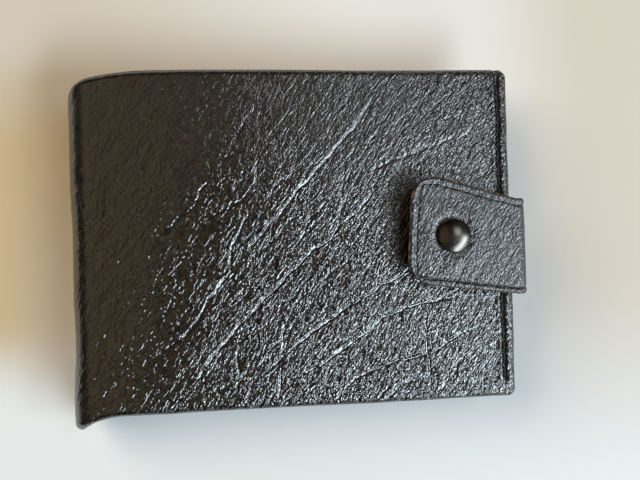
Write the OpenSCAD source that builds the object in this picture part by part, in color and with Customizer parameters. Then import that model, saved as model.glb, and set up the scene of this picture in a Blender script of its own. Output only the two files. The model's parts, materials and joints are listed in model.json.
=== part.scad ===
// Leather wallet with three leaves and a snap tab, closed and lying flat.
//
// X runs from the folded spine (-X) to the free edge and its tab (+X).
// Y runs up the cover, and the note pocket opens at +Y.
// Z is up. The origin is the middle of the back cover's outer face, which
// lies on the table.

/* [Cover] */
// Width of the closed wallet, from the spine to the free edge
cover_w = 121; // [105:1:135]
// Height of the closed wallet
cover_h = 92; // [80:1:105]
// Thickness of the outer leather
leather_t = 1.3; // [1:0.1:1.6]
// Thickness of the stiffening board behind the leather
board_t = 0.7; // [0.5:0.1:1]
// Thickness of the cloth lining on the board
lining_t = 0.3; // [0.2:0.1:0.5]
// Corner radius at the free edge
corner_r = 2.2; // [1:0.1:5]
// Rounding of the turned leather edges
edge_r = 1.9; // [0.8:0.1:2.2]
// Width of the turned hem along the free edge
side_hem = 5.6; // [5:0.1:9]
// Width of the turned hem along the top and bottom edges
end_hem = 4; // [3:0.5:6]

/* [Spine] */
// Outer radius of the leather where it rolls round the spine
fold_r = 6; // [5.5:0.1:7]
// Clear joint between a rolled part and the flat part beside it
fold_gap = 0.05; // [0.02:0.01:0.1]
// Distance from the spine at which the top edge starts to fall
dip_run = 25; // [20:1:35]
// Radius of the long fall of the top edge
dip_r = 83; // [70:1:110]
// Radius of the shoulder where the top edge turns down at the spine
shoulder_r = 4.5; // [3:0.5:9]
// Length of the bottom edge that runs down to the point at the spine
ear_run = 14; // [10:1:20]
// Drop of that point below the bottom edge
ear_drop = 4; // [1:0.1:5]

/* [Seam] */
// Distance of the sewn groove from the free edge
seam_in = 3.3; // [2.6:0.1:4]
// Radius of the sewn groove
groove_r = 0.6; // [0.4:0.05:0.8]
// Distance from the bottom edge at which the thread is tied off
seam_end = 5; // [3:0.5:9]
// Radius of the thread
thread_r = 0.28; // [0.2:0.01:0.35]
// Distance from one stitch to the next
stitch_pitch = 3.6; // [2.5:0.1:5]
// Length of a stitch that shows
stitch_l = 2.7; // [1.5:0.1:3.2]

/* [Pockets] */
// Space of the note pocket behind each base panel
note_gap = 1; // [0.8:0.1:2]
// Thickness of a base panel
base_t = 0.9; // [0.6:0.1:1.2]
// Distance of a base panel's free edges from the cover's
base_in = 3; // [2:0.5:6]
// Thickness of one card pocket with its slot
pocket_t = 0.8; // [0.6:0.1:1]
// Depth of a card slot
slot_t = 0.3; // [0.2:0.05:0.4]
// Width of the sewn rim of a card pocket
pocket_rim = 3; // [2:0.5:5]
// Distance of the pockets from the cover's free and bottom edges
pocket_in = 2.6; // [1:0.1:5]
// Distance of the pockets from the roll of the spine
pocket_spine = 4.5; // [3:0.5:8]
// Distance of the first slot's edge below the cover's top
pocket_top = 15.5; // [10:0.5:22]
// Distance from one slot's edge to the next
pocket_step = 12; // [6:0.5:14]
// Corner radius of the inner leather panels
panel_r = 2; // [1:0.5:4]

/* [Centre leaf] */
// Clear gap on each side of the centre leaf
leaf_gap = 0.3; // [0.2:0.1:0.6]
// Thickness of the leather sheet of the centre leaf
sheet_t = 0.9; // [0.6:0.1:1.2]
// Space for a card in the centre leaf
card_gap = 0.8; // [0.6:0.1:1.5]
// Thickness of the window frame
frame_t = 1.3; // [1:0.1:1.6]
// Thickness of the clear window
window_t = 0.3; // [0.2:0.1:0.4]
// Overlap of the window behind its frame
window_lap = 3; // [2:0.5:5]
// Width of the window frame round its opening
frame_w = 10; // [8:0.5:16]
// Distance of the centre leaf from the free edge
leaf_in_x = 8.5; // [6:0.5:20]
// Distance of the centre leaf from the bottom edge
leaf_in_bottom = 1.5; // [1:0.5:4]
// Distance of the centre leaf from the top edge
leaf_in_top = 5.5; // [5:0.5:12]
// Distance of the leaf's hinge line from the roll of the spine
leaf_hinge_x = 2; // [1.5:0.1:3]
// Clear distance from the hinge line to the leaf's edge
leaf_edge = 1.6; // [1.2:0.1:2.5]
// Thickness of the cloth hinge tape
tape_t = 0.5; // [0.3:0.1:0.6]
// Inner radius of the bend of the hinge tape
tape_r = 0.5; // [0.3:0.1:0.8]
// Corner radius of the centre leaf
leaf_r = 4; // [2:0.5:8]

/* [Tab] */
// Width of the tab where it leaves the back cover
tab_w = 26.2; // [20:0.1:34]
// Middle of the tab below the middle of the cover
tab_y = -3.8; // [-10:0.1:6]
// Thickness of the tab's leather
tab_leather_t = 1.3; // [1:0.1:1.6]
// Thickness of the tab's lining
tab_lining_t = 1.1; // [0.8:0.1:1.1]
// Distance that the lining keeps back from the leather's edge
tab_lip = 0.6; // [0.3:0.1:1]
// Clear gap between the cover's edge and the tab
tab_gap = 0.4; // [0.3:0.1:1]
// Clear height of the tab above the front cover
tab_rise = 2.4; // [2.2:0.1:3]
// Reach of the tab over the cover at its upper corner
reach_upper = 29.6; // [26:0.1:35]
// Reach of the tab over the cover at its lower corner
reach_lower = 31.6; // [30:0.1:38]
// Rise of the tab's upper corner above the tab's side edge
splay_upper = 8.3; // [0:0.1:10]
// Drop of the tab's lower corner; negative leans the tab up
splay_lower = -3.8; // [-5:0.1:3]
// Corner radius of the tab's free end
tab_r = 7.2; // [4:0.5:9]
// Outer radius of the tab's upper fold
tab_fold_r = 3.5; // [3:0.1:3.7]
// Length of the tab's tail inside the back cover's hem
tail_l = 9; // [7:0.5:14]
// Height of the tab's lower side above the table when it is laid out
tab_lift = 2; // [2:0.1:2.3]

/* [Snap] */
// Distance of the snap from the cover's free edge
snap_in = 18.4; // [16:0.1:20]
// Height of the snap on the cover, from its middle
snap_y = -0.6; // [-5:0.1:4]
// Diameter of the snap's cap
cap_d = 9.2; // [8:0.1:11]
// Height of the snap's cap
cap_h = 1.9; // [1.2:0.1:1.9]
// Thickness of the cap's turned rim
cap_rim = 0.7; // [0.5:0.1:0.9]
// Diameter of the cap's post through the tab
post_d = 2.8; // [2.4:0.1:3]
// Diameter of the socket under the tab
socket_d = 8.4; // [7:0.1:9]
// Bore of the socket
socket_bore = 3.7; // [3.5:0.1:4.2]
// Thickness of the socket's roof, through which the post is clinched
socket_roof = 0.4; // [0.3:0.1:0.5]
// Diameter of the stud's flange on the cover
stud_flange_d = 7.2; // [6:0.1:8]
// Thickness of the stud's and the rivet's flanges
flange_t = 0.4; // [0.3:0.05:0.5]
// Diameter of the rivet's shank through the cover
rivet_d = 2; // [1.6:0.1:2.2]
// Clearance between the snap's metal parts
snap_clear = 0.1; // [0.05:0.01:0.15]
// Clearance of the holes for the rivet and the post
hole_clear = 0.05; // [0.03:0.01:0.1]

/* [Hidden] */
$fn = 64;
cut = 1;      // how far a cutting solid passes the face that it cuts

black = "#211e1c";
inner = "#3b3430";
cloth = "#57504a";
card = "#b59f78";
thread = "#141312";
metal = "#4a4c52";
film = "#cfd8dc";

// Edges of the closed wallet, seen from above
right = cover_w / 2;
spine = -cover_w / 2;
top = cover_h / 2;
bottom = -cover_h / 2;

// Levels of one leaf, counted from its outer face inward
z_board = leather_t;
z_lining = z_board + board_t;
z_note = z_lining + lining_t;
z_base = z_note + note_gap;
z_pocket = z_base + base_t;
stack_t = z_pocket + 3 * pocket_t;

// Levels of the centre leaf, and the whole height
z_leaf = stack_t + leaf_gap;
z_card = z_leaf + sheet_t;
z_frame = z_card + card_gap;
leaf_t = sheet_t + card_gap + frame_t;
total_t = 2 * z_leaf + leaf_t;

// The two hinge lines of the spine, and that of the centre leaf
hinge_x = spine + fold_r;
hinge_z1 = fold_r;
hinge_z2 = total_t - fold_r;
leaf_x = hinge_x + leaf_hinge_x;
leaf_z = total_t / 2;

// The two hinge lines of the tab
tab_t = tab_leather_t + tab_lining_t;
tab_z = total_t + tab_rise + tab_t;
tab_x = right + tab_gap;
fold_x2 = tab_x + tab_t - tab_fold_r;
fold_z2 = tab_z - tab_fold_r;
fold_z1 = tab_lift + tab_t;

snap_x = right - snap_in;
seam_x = right - seam_in;
board_x = right - side_hem;
board_top = top - end_hem;
board_bottom = bottom + end_hem;

// Slot edges, counted from the base panel outward
slot_edges = [for (i = [0:2]) top - pocket_top - i * pocket_step];

// ---- outlines ----

function unit(v) = v / norm(v);

// The arc that rounds corner p between its neighbours a and b, which
// follow one another anticlockwise
function corner(a, p, b, r, n = 8) =
    let (u = unit(a - p), v = unit(b - p), half = acos(u * v) / 2,
         c = p + unit(u + v) * r / sin(half),
         d = p + u * r / tan(half) - c,
         start = atan2(d.y, d.x), turn = 180 - 2 * half)
    [for (i = [0:n]) c + r * [cos(start + turn * i / n),
                              sin(start + turn * i / n)]];

function rounded(p, r) =
    let (n = len(p))
    [for (i = [0:n - 1])
        each corner(p[(i + n - 1) % n], p[i], p[(i + 1) % n], r)];

function box(x0, y0, x1, y1) = [[x0, y0], [x1, y0], [x1, y1], [x0, y1]];

function arc(c, r, from, to, n) =
    [for (i = [0:n]) let (a = from + (to - from) * i / n)
        c + r * [cos(a), sin(a)]];

// The cover's outline: the top edge falls toward the spine and turns down
// over a shoulder, and the bottom corner at the spine runs to a point
dip_c = [spine + dip_run, top - dip_r];
dip_a = asin((dip_run - shoulder_r) / (dip_r - shoulder_r));
shoulder_c = dip_c + (dip_r - shoulder_r) * [-sin(dip_a), cos(dip_a)];
cover_outline = concat(
    corner([spine, bottom], [right, bottom], [right, top], corner_r),
    corner([right, bottom], [right, top], [spine, top], corner_r),
    arc(dip_c, dip_r, 90, 90 + dip_a, 10),
    [for (p = arc(shoulder_c, shoulder_r, 90 + dip_a, 180, 10))
        if (p.x < shoulder_c.x) p],
    [for (i = [8:-1:0]) [spine + ear_run * (1 - i / 8),
                         bottom - ear_drop * pow(i / 8, 2)]]);

// The flap's outline, from the upper fold to its free end
flap_outline = [
    [fold_x2, tab_y - tab_w / 2], [fold_x2, tab_y + tab_w / 2],
    [right - reach_upper, tab_y + tab_w / 2 + splay_upper],
    [right - reach_lower, tab_y - tab_w / 2 - splay_lower]];

function flap_points(lip) =
    let (p = flap_outline, e = [0, lip], f = [lip, 0])
    concat([p[0] + e, p[1] - e],
           corner(p[1] - e, p[2] - e + f, p[3] + e + f, tab_r - lip),
           corner(p[2] - e + f, p[3] + e + f, p[0] + e, tab_r - lip));

// ---- shared shapes ----

// A plate with the given outline between two levels
module plate(points, z0, z1)
    translate([0, 0, z0]) linear_extrude(z1 - z0) polygon(points);

// A profile in X and Z, carried along Y from y0 to y1
module along_y(y0, y1)
    translate([0, y1, 0]) rotate([90, 0, 0]) linear_extrude(y1 - y0)
        children();

// The quarter of a ring that starts at angle from and turns through 90
module quarter(r0, r1, from) {
    intersection() {
        difference() {
            circle(r1);
            if (r0 > 0) circle(r0);
        }
        rotate(from) square(2 * r1);
    }
}

// Turns a leaf over, so that its outer face becomes the top of the wallet
module front() translate([0, 0, total_t]) mirror([0, 0, 1]) children();

// A section with its lower corners rounded, as the turned leather has
module turned_section(x0, x1, h, round_left) {
    difference() {
        translate([x0, 0]) square([x1 - x0, h]);
        translate([x1 - edge_r, 0]) difference() {
            translate([0, -cut]) square([edge_r + cut, edge_r + cut]);
            translate([0, edge_r]) circle(edge_r);
        }
        if (round_left) translate([x0 + edge_r, 0]) difference() {
            translate([-edge_r - cut, -cut])
                square([edge_r + cut, edge_r + cut]);
            translate([0, edge_r]) circle(edge_r);
        }
    }
}

// ---- one leaf, outer face down ----

// Outer leather with its turned hems. The note pocket's mouth is open at
// the top edge, so the hem there only covers the board and its lining.
module outer() {
    hem_x = hinge_x + fold_gap;
    difference() {
        intersection() {
            plate(cover_outline, 0, z_base);
            along_y(bottom - 2 * ear_drop, top + cut)
                turned_section(hem_x, right, z_base, false);
            translate([hem_x, 0, 0]) rotate([90, 0, 90])
                linear_extrude(right - hem_x + cut)
                    turned_section(bottom - ear_drop, top, z_base, true);
        }
        translate([hem_x - cut, board_bottom, z_board])
            cube([board_x - hem_x + cut, board_top - board_bottom, z_base]);
        translate([hem_x - cut, board_top - cut, z_note])
            cube([board_x - hem_x + cut, end_hem + 2 * cut, z_base]);
        translate([seam_x, bottom + seam_end, 0]) rotate([-90, 0, 0])
            cylinder(r = groove_r, h = cover_h);
    }
}

// The leather rolled round one edge of the spine
module rolled(r0, r1) {
    intersection() {
        plate(cover_outline, 0, hinge_z1);
        along_y(bottom - 2 * ear_drop, top)
            translate([hinge_x, hinge_z1]) quarter(r0, r1, 180);
    }
}

module board_sheet()
    plate(box(hinge_x + fold_gap, board_bottom, board_x, board_top),
          z_board, z_lining);

module lining_sheet()
    plate(box(hinge_x + fold_gap, board_bottom, board_x, board_top),
          z_lining, z_note);

module lining_roll()
    along_y(board_bottom, shoulder_c.y)
        translate([hinge_x, hinge_z1])
            quarter(fold_r - z_note, fold_r - z_lining, 180);

module base_panel()
    plate(rounded(box(hinge_x + leaf_hinge_x - tape_t / 2, bottom,
                      right, top - base_in), panel_r),
          z_base, z_pocket);

// One card pocket: a leather sheet on a sewn rim, open toward the top
module pocket(i) {
    x0 = hinge_x + pocket_spine;
    x1 = right - pocket_in;
    y0 = bottom + pocket_in;
    z = z_pocket + i * pocket_t;
    difference() {
        plate(rounded(box(x0, y0, x1, slot_edges[i]), panel_r),
              z, z + pocket_t);
        translate([x0 + pocket_rim, y0 + pocket_rim, z - cut])
            cube([x1 - x0 - 2 * pocket_rim, cover_h, slot_t + cut]);
    }
}

// The thread in the sewn groove, with each stitch a short straight length
module stitches() {
    y0 = bottom + seam_end + stitch_pitch / 2;
    n = floor((top - edge_r - stitch_l / 2 - y0) / stitch_pitch);
    for (i = [0:n])
        translate([seam_x, y0 + i * stitch_pitch, groove_r / 2])
            rotate([90, 0, 0])
                cylinder(r = thread_r, h = stitch_l, center = true,
                         $fn = 16);
}

// ---- back leaf ----

module outer_back() color(black) difference() {
    outer();
    // the way in for the tab's tail
    translate([board_x - cut, tab_y - tab_w / 2, z_note])
        cube([side_hem + 2 * cut, tab_w, note_gap + cut]);
}
module fold_lower() color(black) rolled(fold_r - leather_t, fold_r);
module board_back() color(card) board_sheet();
module lining_back() color(cloth) lining_sheet();
module lining_fold_lower() color(cloth) lining_roll();
module base_back() color(inner) base_panel();
module pocket_back_1() color(inner) pocket(0);
module pocket_back_2() color(inner) pocket(1);
module pocket_back_3() color(inner) pocket(2);
module stitches_back() color(thread) stitches();

// The thinned end of the tab, held between the lining and the base panel
module tab_tail() color(black)
    plate(box(right - tail_l, tab_y - tab_w / 2,
              tab_x - fold_gap, tab_y + tab_w / 2), z_note, z_base);

// Cloth tape that stands on the base panel and carries the centre leaf
module leaf_tape() color(cloth) {
    x0 = leaf_x - tape_t / 2;
    bend_x = x0 + tape_t + tape_r;
    bend_z = leaf_z + tape_t / 2 - tape_t - tape_r;
    along_y(bottom + leaf_in_bottom + leaf_r, top - leaf_in_top - leaf_r)
        union() {
            translate([x0, z_pocket]) square([tape_t, bend_z - z_pocket]);
            translate([bend_x, bend_z]) quarter(tape_r, tape_r + tape_t, 90);
            translate([bend_x, bend_z + tape_r])
                square([leaf_x + leaf_edge - bend_x, tape_t]);
        }
}

// ---- spine ----

module outer_spine() color(black) intersection() {
    plate(cover_outline, hinge_z1 + fold_gap, hinge_z2 - fold_gap);
    translate([spine, bottom - 2 * ear_drop, 0])
        cube([leather_t, cover_h + 4 * ear_drop, total_t]);
}

module lining_spine() color(cloth)
    plate(box(hinge_x - fold_r + z_lining, board_bottom,
              hinge_x - fold_r + z_note, shoulder_c.y),
          hinge_z1 + fold_gap, hinge_z2 - fold_gap);

// ---- front leaf ----

module snap_hole(d) translate([snap_x, snap_y, -cut])
    cylinder(d = d + 2 * hole_clear, h = total_t + tab_z);

module outer_front() color(black) difference() {
    front() outer();
    snap_hole(rivet_d);
}
module fold_upper() color(black) front() rolled(fold_r - leather_t, fold_r);
module board_front() color(card) difference() {
    front() board_sheet();
    snap_hole(rivet_d);
}
module lining_front() color(cloth) difference() {
    front() lining_sheet();
    snap_hole(rivet_d);
}
module lining_fold_upper() color(cloth) front() lining_roll();
module base_front() color(inner) front() base_panel();
module pocket_front_1() color(inner) front() pocket(0);
module pocket_front_2() color(inner) front() pocket(1);
module pocket_front_3() color(inner) front() pocket(2);
module stitches_front() color(thread) front() stitches();

// The stud's height over the cover is set by the socket that grips it
stud_h = tab_rise - socket_roof - snap_clear;
head_r = socket_bore / 2 - snap_clear;
neck_r = head_r - 0.2;
rivet_top = total_t + stud_h - 0.9;

module snap_stud() color(metal) translate([snap_x, snap_y, total_t])
    rotate_extrude() polygon([
        [rivet_d / 2 + hole_clear, 0], [stud_flange_d / 2, 0],
        [stud_flange_d / 2, flange_t], [neck_r, flange_t],
        [neck_r, stud_h - 0.9], [head_r, stud_h - 0.6],
        [head_r, stud_h - 0.3], [head_r - 0.3, stud_h], [0, stud_h],
        [0, stud_h - 0.9 + hole_clear],
        [rivet_d / 2 + hole_clear, stud_h - 0.9 + hole_clear]]);

// The rivet's head lies in the note pocket, and its shank holds the stud
module snap_rivet() color(metal) translate([snap_x, snap_y, 0]) {
    translate([0, 0, total_t - z_note]) cylinder(d = rivet_d,
        h = rivet_top - total_t + z_note);
    translate([0, 0, total_t - z_note - flange_t])
        cylinder(d = stud_flange_d - 1, h = flange_t);
}

// ---- centre leaf ----

leaf_box = box(leaf_x + leaf_edge, bottom + leaf_in_bottom,
               right - leaf_in_x, top - leaf_in_top);
window_box = box(leaf_box[0].x + frame_w, leaf_box[0].y + frame_w,
                 leaf_box[2].x - frame_w, leaf_box[2].y - frame_w);
film_box = box(window_box[0].x - window_lap, window_box[0].y - window_lap,
               window_box[2].x + window_lap, window_box[2].y + window_lap);

// Leather sheet with a sewn rim on three sides; a card goes in at the top
module leaf_shell() color(inner) difference() {
    plate(rounded(leaf_box, leaf_r), z_leaf, z_frame);
    translate([leaf_box[0].x + frame_w / 2, leaf_box[0].y + frame_w / 2,
               z_card])
        cube([leaf_box[2].x - leaf_box[0].x - frame_w, cover_h,
              card_gap + cut]);
}

module leaf_window() color(film, 0.5)
    plate(rounded(film_box, panel_r), z_frame, z_frame + window_t);

module leaf_frame() color(inner) difference() {
    plate(rounded(leaf_box, leaf_r), z_frame, z_frame + frame_t);
    plate(rounded(film_box, panel_r), z_frame - cut, z_frame + window_t);
    plate(rounded(window_box, panel_r), z_frame, z_frame + frame_t + cut);
}

// ---- tab ----

// A strip of the riser, between two faces counted from its inner one
module riser(x0, x1, lip)
    translate([tab_x + x0, tab_y - tab_w / 2 + lip, fold_z1 + fold_gap])
        cube([x1 - x0, tab_w - 2 * lip, fold_z2 - fold_z1 - 2 * fold_gap]);

// A rolled strip of the tab round one of its two hinge lines
module tab_roll(x, z, r0, r1, from, lip)
    along_y(tab_y - tab_w / 2 + lip, tab_y + tab_w / 2 - lip)
        translate([x, z]) quarter(r0, r1, from);

module riser_leather() color(black) riser(tab_lining_t, tab_t, 0);
module riser_lining() color(inner) riser(0, tab_lining_t, tab_lip);
module tab_fold_lower() color(black)
    tab_roll(tab_x, fold_z1, tab_lining_t, tab_t, 270, 0);
module tab_lining_fold_lower() color(inner)
    tab_roll(tab_x, fold_z1, 0, tab_lining_t, 270, tab_lip);

module flap_leather() color(black) difference() {
    plate(flap_points(0), tab_z - tab_leather_t, tab_z);
    snap_hole(post_d);
}
module flap_lining() color(inner) difference() {
    plate(flap_points(tab_lip), tab_z - tab_t, tab_z - tab_leather_t);
    snap_hole(post_d);
}
module tab_fold_upper() color(black)
    tab_roll(fold_x2, fold_z2, tab_fold_r - tab_leather_t, tab_fold_r, 0, 0);
module tab_lining_fold_upper() color(inner)
    tab_roll(fold_x2, fold_z2, tab_fold_r - tab_t,
             tab_fold_r - tab_leather_t, 0, tab_lip);

// ---- snap on the tab ----

cap_r = cap_d / 2;
// Radius of the sphere that the dome of the cap is part of
dome_r = (pow(cap_r, 2) + pow(cap_h - cap_rim, 2)) / (2 * (cap_h - cap_rim));

// Domed cap with a turned rim. Its post goes through the tab and is
// clinched in the roof of the socket.
module snap_cap() color(metal) translate([snap_x, snap_y, 0]) {
    translate([0, 0, tab_z]) rotate_extrude() union() {
        intersection() {
            translate([0, cap_h - dome_r]) circle(dome_r, $fn = 128);
            translate([0, cap_rim]) square([cap_r, cap_h]);
        }
        square([cap_r - cap_rim / 2, cap_rim]);
        translate([cap_r - cap_rim / 2, cap_rim / 2]) circle(cap_rim / 2);
    }
    translate([0, 0, tab_z - tab_t]) cylinder(d = post_d, h = tab_t);
    translate([0, 0, tab_z - tab_t - socket_roof])
        cylinder(d = rivet_d, h = socket_roof);
}

socket_h = tab_rise - flange_t - snap_clear;

module snap_socket() color(metal) translate([snap_x, snap_y, 0])
    rotate_extrude() difference() {
        translate([0, tab_z - tab_t]) mirror([0, 1]) union() {
            square([socket_d / 2, socket_roof]);
            square([socket_d / 2 - 0.6, socket_h - 0.35]);
            square([socket_d / 2 - 0.95, socket_h]);
            translate([socket_d / 2 - 0.95, socket_h - 0.35]) circle(0.35);
        }
        translate([0, tab_z - tab_t - socket_h - cut])
            square([socket_bore / 2, socket_h - socket_roof + cut]);
        translate([0, tab_z - tab_t - socket_h])
            square([rivet_d / 2 + hole_clear, socket_h + cut]);
    }

outer_back();
fold_lower();
board_back();
lining_back();
lining_fold_lower();
base_back();
pocket_back_1();
pocket_back_2();
pocket_back_3();
stitches_back();
tab_tail();
leaf_tape();
outer_spine();
lining_spine();
outer_front();
fold_upper();
board_front();
lining_front();
lining_fold_upper();
base_front();
pocket_front_1();
pocket_front_2();
pocket_front_3();
stitches_front();
snap_stud();
snap_rivet();
leaf_shell();
leaf_window();
leaf_frame();
riser_leather();
riser_lining();
tab_fold_lower();
tab_lining_fold_lower();
flap_leather();
flap_lining();
tab_fold_upper();
tab_lining_fold_upper();
snap_cap();
snap_socket();
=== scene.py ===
# %% [markdown]
# # A black leather wallet with a snap tab
#
# The wallet lies closed on its back cover. X runs from the rolled spine to
# the free edge, where the tab comes round, Y runs up the cover and Z is up.
# The solid model gives every size and every hinge. Here each leather part
# gets the skin, grain, creases and edges of the real one.

# %% Load the solid model
import json

import bmesh
import bpy
import numpy as np
from mathutils import Matrix, Vector


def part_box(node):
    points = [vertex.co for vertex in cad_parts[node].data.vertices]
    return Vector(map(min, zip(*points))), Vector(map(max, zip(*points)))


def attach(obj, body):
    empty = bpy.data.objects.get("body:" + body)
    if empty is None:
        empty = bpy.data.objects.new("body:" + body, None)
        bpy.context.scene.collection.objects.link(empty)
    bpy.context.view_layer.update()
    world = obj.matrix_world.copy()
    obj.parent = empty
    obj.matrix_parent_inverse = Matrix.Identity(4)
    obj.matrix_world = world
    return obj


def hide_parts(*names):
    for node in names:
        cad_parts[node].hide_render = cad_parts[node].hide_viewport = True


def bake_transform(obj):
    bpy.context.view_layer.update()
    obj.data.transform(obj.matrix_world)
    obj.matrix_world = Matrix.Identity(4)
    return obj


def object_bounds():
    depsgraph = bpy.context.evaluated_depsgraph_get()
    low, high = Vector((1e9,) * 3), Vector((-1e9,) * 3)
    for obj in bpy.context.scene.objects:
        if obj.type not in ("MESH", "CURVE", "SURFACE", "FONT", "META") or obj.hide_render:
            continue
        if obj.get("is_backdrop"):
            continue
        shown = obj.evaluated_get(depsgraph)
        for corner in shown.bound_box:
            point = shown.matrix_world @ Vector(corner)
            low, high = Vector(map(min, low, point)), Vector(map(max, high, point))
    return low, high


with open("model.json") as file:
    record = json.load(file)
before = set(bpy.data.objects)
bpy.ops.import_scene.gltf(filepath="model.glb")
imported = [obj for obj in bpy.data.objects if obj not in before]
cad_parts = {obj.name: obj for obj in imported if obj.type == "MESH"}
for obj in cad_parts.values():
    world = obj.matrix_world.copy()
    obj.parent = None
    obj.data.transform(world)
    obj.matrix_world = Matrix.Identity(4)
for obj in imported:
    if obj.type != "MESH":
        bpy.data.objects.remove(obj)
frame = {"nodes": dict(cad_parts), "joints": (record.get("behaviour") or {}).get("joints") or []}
solid_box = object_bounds()
print("nodes:", len(frame["nodes"]))

# %% [markdown]
# ## Sizes
#
# Every place is read from the solid nodes, so that the skins stay on them.
# Blender works in metres and a wallet is thought of in millimetres, so one
# value turns one into the other, and all the sizes below are millimetres.

# %% Read the main sizes
MM = 0.001


def low(node):
    return Vector(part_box(node)[0]) / MM


def high(node):
    return Vector(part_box(node)[1]) / MM


def hinge(name):
    joint = next(j for j in frame["joints"] if j["name"] == name)
    return Vector(joint["pos_m"]) / MM


SPINE, RIGHT = low("outer_spine").x, high("outer_front").x
TOP, BOTTOM = high("outer_front").y, low("pocket_front_1").y - 2.6
TOTAL = high("outer_front").z
HINGE = hinge("spine_fold")
ROLL = HINGE.z
HEM_DEPTH = high("outer_back").z
LINING_DEPTH = low("lining_back").z
NOTE_DEPTH = high("lining_back").z
EAR = BOTTOM - low("outer_spine").y
print("cover %.1f x %.1f, %.1f thick" % (RIGHT - SPINE, TOP - BOTTOM, TOTAL))

# %% [markdown]
# ## Tools for selecting and measuring
#
# An operator acts on all that is selected, so each piece is picked alone
# before anything is done to it. The loader leaves the solids selected. A
# sheet is made first, then turned outward and given its thickness.


# %% Small helpers
def pick(obj):
    if bpy.context.object and bpy.context.object.mode != "OBJECT":
        bpy.ops.object.mode_set(mode="OBJECT")
    bpy.ops.object.select_all(action="DESELECT")
    obj.select_set(True)
    bpy.context.view_layer.objects.active = obj


def apply_all(obj):
    pick(obj)
    for modifier in list(obj.modifiers):
        bpy.ops.object.modifier_apply(modifier=modifier.name)


def smooth(obj, angle=40):
    pick(obj)
    bpy.ops.object.shade_smooth_by_angle(angle=np.radians(angle))


def open_mesh(obj):
    """Edit mode, with the whole mesh of one object selected."""
    pick(obj)
    bpy.ops.object.mode_set(mode="EDIT")
    bpy.ops.mesh.select_all(action="SELECT")


def close_mesh():
    bpy.ops.object.mode_set(mode="OBJECT")


def face_out(obj, direction):
    """Turns the faces over if most of them look away from a direction."""
    leans = [(p.area, p.normal.dot(Vector(direction)))
             for p in obj.data.polygons]
    if sum(area * np.sign(lean) for area, lean in leans
           if abs(lean) > 0.9) < 0:
        obj.data.flip_normals()


def thicken(obj, thickness, rim=0):
    """Gives a sheet its thickness, on the side that its normals leave."""
    wall = obj.modifiers.new("thickness", "SOLIDIFY")
    wall.thickness = thickness * MM
    wall.offset = -1
    wall.use_rim = True
    wall.material_offset_rim = rim
    apply_all(obj)


def make_solid(sheet, direction, thickness, angle=40):
    """A finished piece from a sheet whose outer face has a direction."""
    face_out(sheet, direction)
    thicken(sheet, thickness)
    smooth(sheet, angle)


# %% [markdown]
# ## Sheets made from a grid
#
# Leather and cloth start as a flat grid. Its columns and rows are lists of
# distances, close together near an edge or a seam and wide apart where the
# sheet is plain. Each grid point is then put where the cut and folded sheet
# has it. A cloth simulation would crumple at random, but leather this stiff
# keeps its folds, so placing the points gives the truer form.


# %% Make a sheet
def sheet_mesh(name, columns, rows, place):
    """A grid whose point (column, row) goes to place(c, r), in mm.

    If place also returns each point's distance to the nearest crease and
    that crease's depth, both are kept on the points for the leather."""
    bpy.ops.object.select_all(action="DESELECT")
    bpy.ops.mesh.primitive_grid_add(
        x_subdivisions=len(columns) - 1, y_subdivisions=len(rows) - 1, size=1)
    obj = bpy.context.object
    obj.name = obj.data.name = name
    c, r = np.meshgrid(columns, rows)
    points = place(c.ravel(), r.ravel())
    if isinstance(points, tuple):
        points, line, depth = points
        layer = obj.data.attributes.new("crease", "FLOAT_VECTOR", "POINT")
        layer.data.foreach_set(
            "vector", np.stack([line, depth, 0 * line], 1).ravel())
    obj.data.vertices.foreach_set("co", (points * MM).ravel())
    obj.data.update()
    return obj


def steps(*spans):
    """Distances that run through spans of (start, end, step)."""
    parts = [np.linspace(a, b, max(int(round(abs(b - a) / s)), 1) + 1)
             for a, b, s in spans]
    return np.unique(np.concatenate(parts).round(5))


def soft(x, a, b):
    """Rises smoothly from 0 at a to 1 at b."""
    t = np.clip((x - a) / (b - a), 0, 1)
    return t * t * (3 - 2 * t)


def lattice(x, y, size, seed):
    """Smooth random heights from -1 to 1 with bumps of the given size."""
    random = np.random.RandomState(seed).uniform(-1, 1, (257, 257))
    u, v = x / size + 60, y / size + 60
    i, j = np.floor(u).astype(int), np.floor(v).astype(int)
    fu, fv = u - i, v - j
    fu, fv = fu * fu * (3 - 2 * fu), fv * fv * (3 - 2 * fv)
    i, j = i % 256, j % 256
    a = random[i, j] * (1 - fu) + random[i + 1, j] * fu
    b = random[i, j + 1] * (1 - fu) + random[i + 1, j + 1] * fu
    return a * (1 - fv) + b * fv


def waves(x, y, *parts):
    """Sum of several (height, size, seed) of such random heights."""
    return sum(height * lattice(x, y, size, seed)
               for height, size, seed in parts)


# %% [markdown]
# ## Creases
#
# A pocket wallet bends the same way for years, and the cover keeps long
# creases that run up from left to right. A crease is narrower than the gap
# between two grid points, so each point keeps its distance to the nearest
# crease, and the leather draws the sharp line from that distance. The sheet
# itself takes only the soft hollow along each crease.


# %% Crease shapes
def crease_line(x, y, points, seed):
    """Signed distance to a line of points, and the share along it."""
    points = np.array(points, float)
    best = np.full(x.shape, 1e9)
    side = np.zeros(x.shape)
    along = np.zeros(x.shape)
    total = len(points) - 1
    for k in range(total):
        a, b = points[k], points[k + 1]
        d = b - a
        t = np.clip(((x - a[0]) * d[0] + (y - a[1]) * d[1]) / (d @ d), 0, 1)
        px, py = x - a[0] - t * d[0], y - a[1] - t * d[1]
        dist = np.hypot(px, py)
        near = dist < best
        best = np.where(near, dist, best)
        side = np.where(near, np.sign(px * d[1] - py * d[0]), side)
        along = np.where(near, (k + t) / total, along)
    wander = waves(x, y, (0.35, 3.2, seed), (0.2, 1.5, seed + 9))
    return best * side + wander, along


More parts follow.
